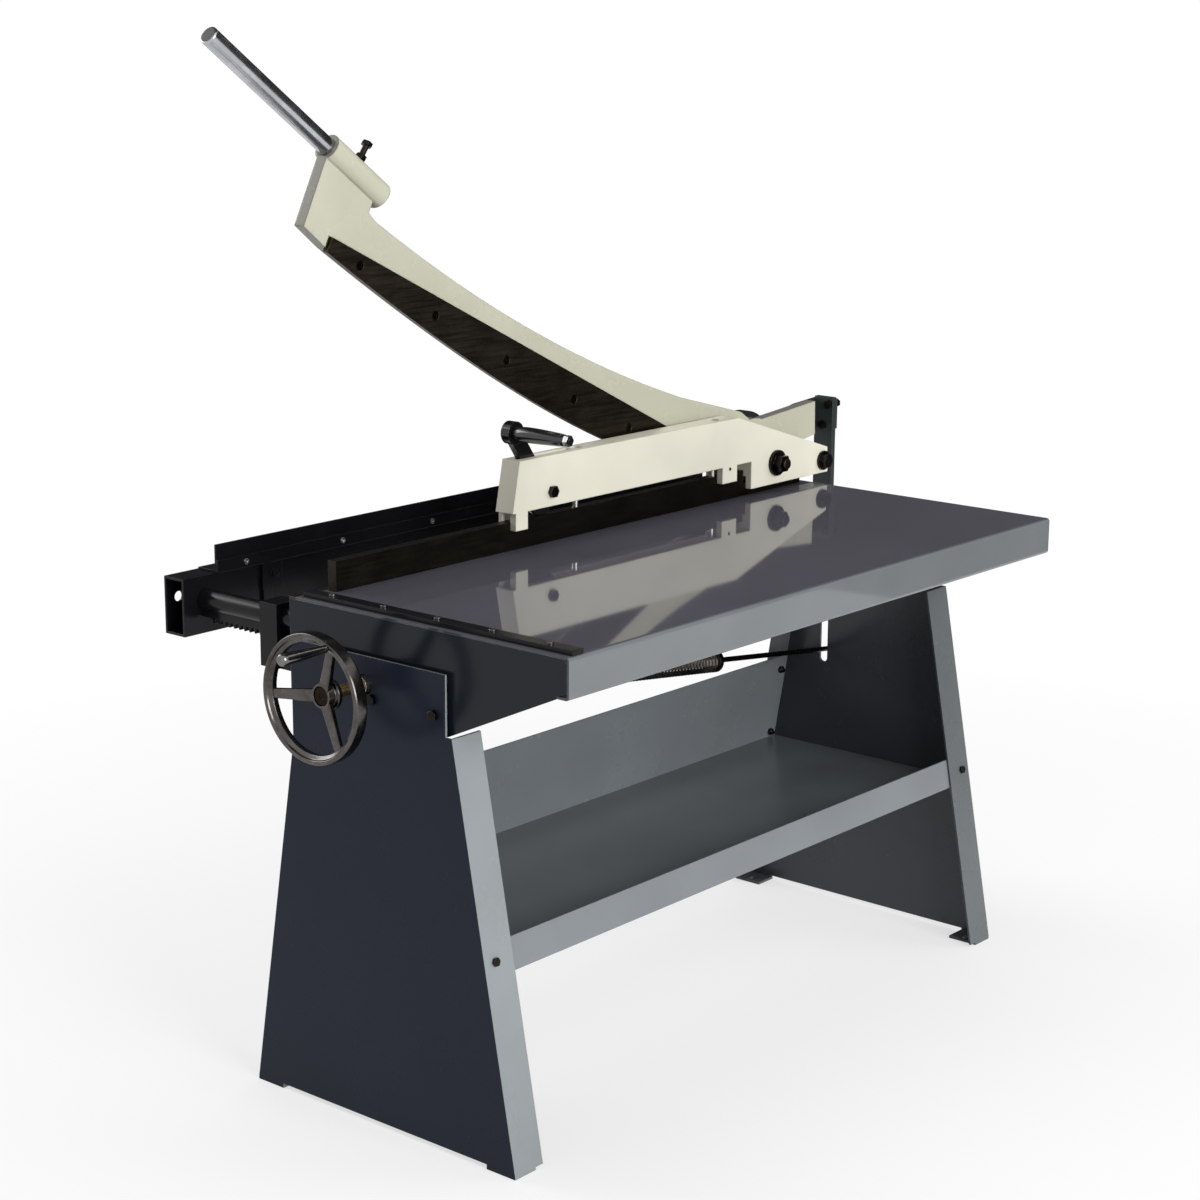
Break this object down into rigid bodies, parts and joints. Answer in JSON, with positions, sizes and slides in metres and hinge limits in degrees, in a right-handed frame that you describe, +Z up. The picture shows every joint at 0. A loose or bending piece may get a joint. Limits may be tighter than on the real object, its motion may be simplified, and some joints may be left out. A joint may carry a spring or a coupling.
{
  "type": "guillotine shear",
  "caption": "Bench-height guillotine shear: steel table on a folded stand, swinging arm with a curved knife, cam hold-down, geared back gauge, spring counterbalance.",
  "frame": {"origin": "on the floor, at the centre of the four foot bolt holes", "axes": "+X towards the arm's pivot, +Y towards the back gauge, +Z up"},
  "size_m": [1.7964, 0.873, 1.735],
  "materials": {
    "dark_blue_paint": "satin paint",
    "grey_paint": "satin paint",
    "light_grey_paint": "satin paint",
    "dark_grey_paint": "satin paint",
    "table_paint": "glossy paint",
    "cream_paint": "glossy paint on a casting",
    "crank_paint": "satin paint",
    "gauge_black": "satin black",
    "gloss_black_paint": "gloss black",
    "knife_steel": "dark oiled steel",
    "black_steel": "black oxide",
    "bright_steel": "turned",
    "polished_steel": "polished",
    "spring_steel": "oiled wire",
    "bronze": "turned",
    "chrome": "bright",
    "wheel_casting": "ground and polished",
    "black_plastic": "gloss"
  },
  "bodies": {
    "frame": {"left_stand": "dark_blue_paint", "right_stand": "grey_paint", "stand_spacers": "black_steel", "stand_bolts": "black_steel", "shelf_tray": "grey_paint", "backboard": "light_grey_paint", "shelf_bolts": "black_steel", "table_top": "table_paint", "left_side_plate": "dark_blue_paint", "right_side_plate": "grey_paint", "rear_beam": "dark_grey_paint", "lower_knife": "knife_steel", "lower_knife_screws": "black_steel", "side_guide": "black_steel", "side_guide_screws": "bright_steel", "pivot_bracket": "dark_grey_paint", "bracket_bolts": "black_steel", "pivot_stud": "bright_steel", "pivot_spacer": "bright_steel", "pivot_nut": "black_steel", "hold_down_beam": "cream_paint", "nose_bolt": "black_steel", "nose_spacer": "bright_steel", "cam_bolt": "black_steel", "guide_blocks": "dark_grey_paint", "guide_block_bolts": "black_steel", "shaft_bearings": "bronze", "anchor_plate": "crank_paint", "anchor_pin": "bright_steel"},
    "arm": {"arm_casting": "cream_paint", "upper_knife": "knife_steel", "knife_screws": "black_steel", "pivot_bush": "bronze", "handle_bar": "polished_steel", "lock_screw": "black_steel", "lock_nut": "black_steel", "tail_bracket": "crank_paint", "tail_bolts": "black_steel", "crank_plate": "crank_paint", "crank_bolts": "black_steel"},
    "press": {"press_bar": "knife_steel", "lift_rods": "bright_steel"},
    "lever": {"cam_lever": "gloss_black_paint", "grip_nut": "chrome"},
    "lever_grip": {"lever_grip": "black_plastic"},
    "gauge": {"gauge_tube": "gauge_black", "guide_rails": "black_steel", "gauge_racks": "knife_steel", "fence_angle": "gauge_black", "fence_strip": "gauge_black", "fence_screws": "bright_steel", "fence_brackets": "gauge_black"},
    "wheel": {"drive_shaft": "bronze", "pinions": "knife_steel", "handwheel": "wheel_casting"},
    "wheel_grip": {"wheel_grip": "polished_steel"},
    "link": {"anchor_link": "crank_paint", "counter_spring": "spring_steel"},
    "rod": {"pull_rod": "bright_steel", "rod_nut": "black_steel"}
  },
  "joints": [
    {"name": "arm_swing", "type": "hinge", "parent": "frame", "child": "arm", "pos_m": [0.557, 0.217, 0.905], "axis": [0, -1, 0], "range_deg": [0, 26], "stiffness_Nm_per_rad": 250, "springref_deg": -51.57},
    {"name": "press_lift", "type": "slide", "parent": "frame", "child": "press", "axis": [0, 0, 1], "range_m": [0, 0.01]},
    {"name": "cam_lever_turn", "type": "hinge", "parent": "frame", "child": "lever", "pos_m": [-0.101, 0.173, 0.943], "axis": [0, 1, 0], "range_deg": [0, 70.2]},
    {"name": "lever_grip_spin", "type": "hinge", "parent": "lever", "child": "lever_grip", "pos_m": [-0.17843, 0.108, 1.05359], "axis": [0, 1, 0], "continuous": true},
    {"name": "gauge_slide", "type": "slide", "parent": "frame", "child": "gauge", "axis": [0, 1, 0], "range_m": [-0.1508, 0.20106]},
    {"name": "handwheel_spin", "type": "hinge", "parent": "frame", "child": "wheel", "pos_m": [0, 0.025, 0.7375], "axis": [1, 0, 0], "range_deg": [-361, 271]},
    {"name": "wheel_grip_spin", "type": "hinge", "parent": "wheel", "child": "wheel_grip", "pos_m": [-0.853, -0.01578, 0.82496], "axis": [1, 0, 0], "continuous": true},
    {"name": "anchor_swing", "type": "hinge", "parent": "frame", "child": "link", "pos_m": [-0.06, 0.115, 0.61], "axis": [0, -1, 0], "range_deg": [0, 10]},
    {"name": "rod_slide", "type": "slide", "parent": "link", "child": "rod", "axis": [0.9917, 0, -0.1284], "range_m": [0, 0.147], "deforming": ["counter_spring"]}
  ],
  "couplings": [
    {"joint": "cam_lever_turn", "follows": "press_lift", "rad_per_m": 122.17},
    {"joint": "handwheel_spin", "follows": "gauge_slide", "rad_per_m": -31.25},
    {"joint": "anchor_swing", "follows": "arm_swing", "ratio": 0.37969},
    {"joint": "rod_slide", "follows": "arm_swing", "m_per_rad": 0.32146}
  ]
}
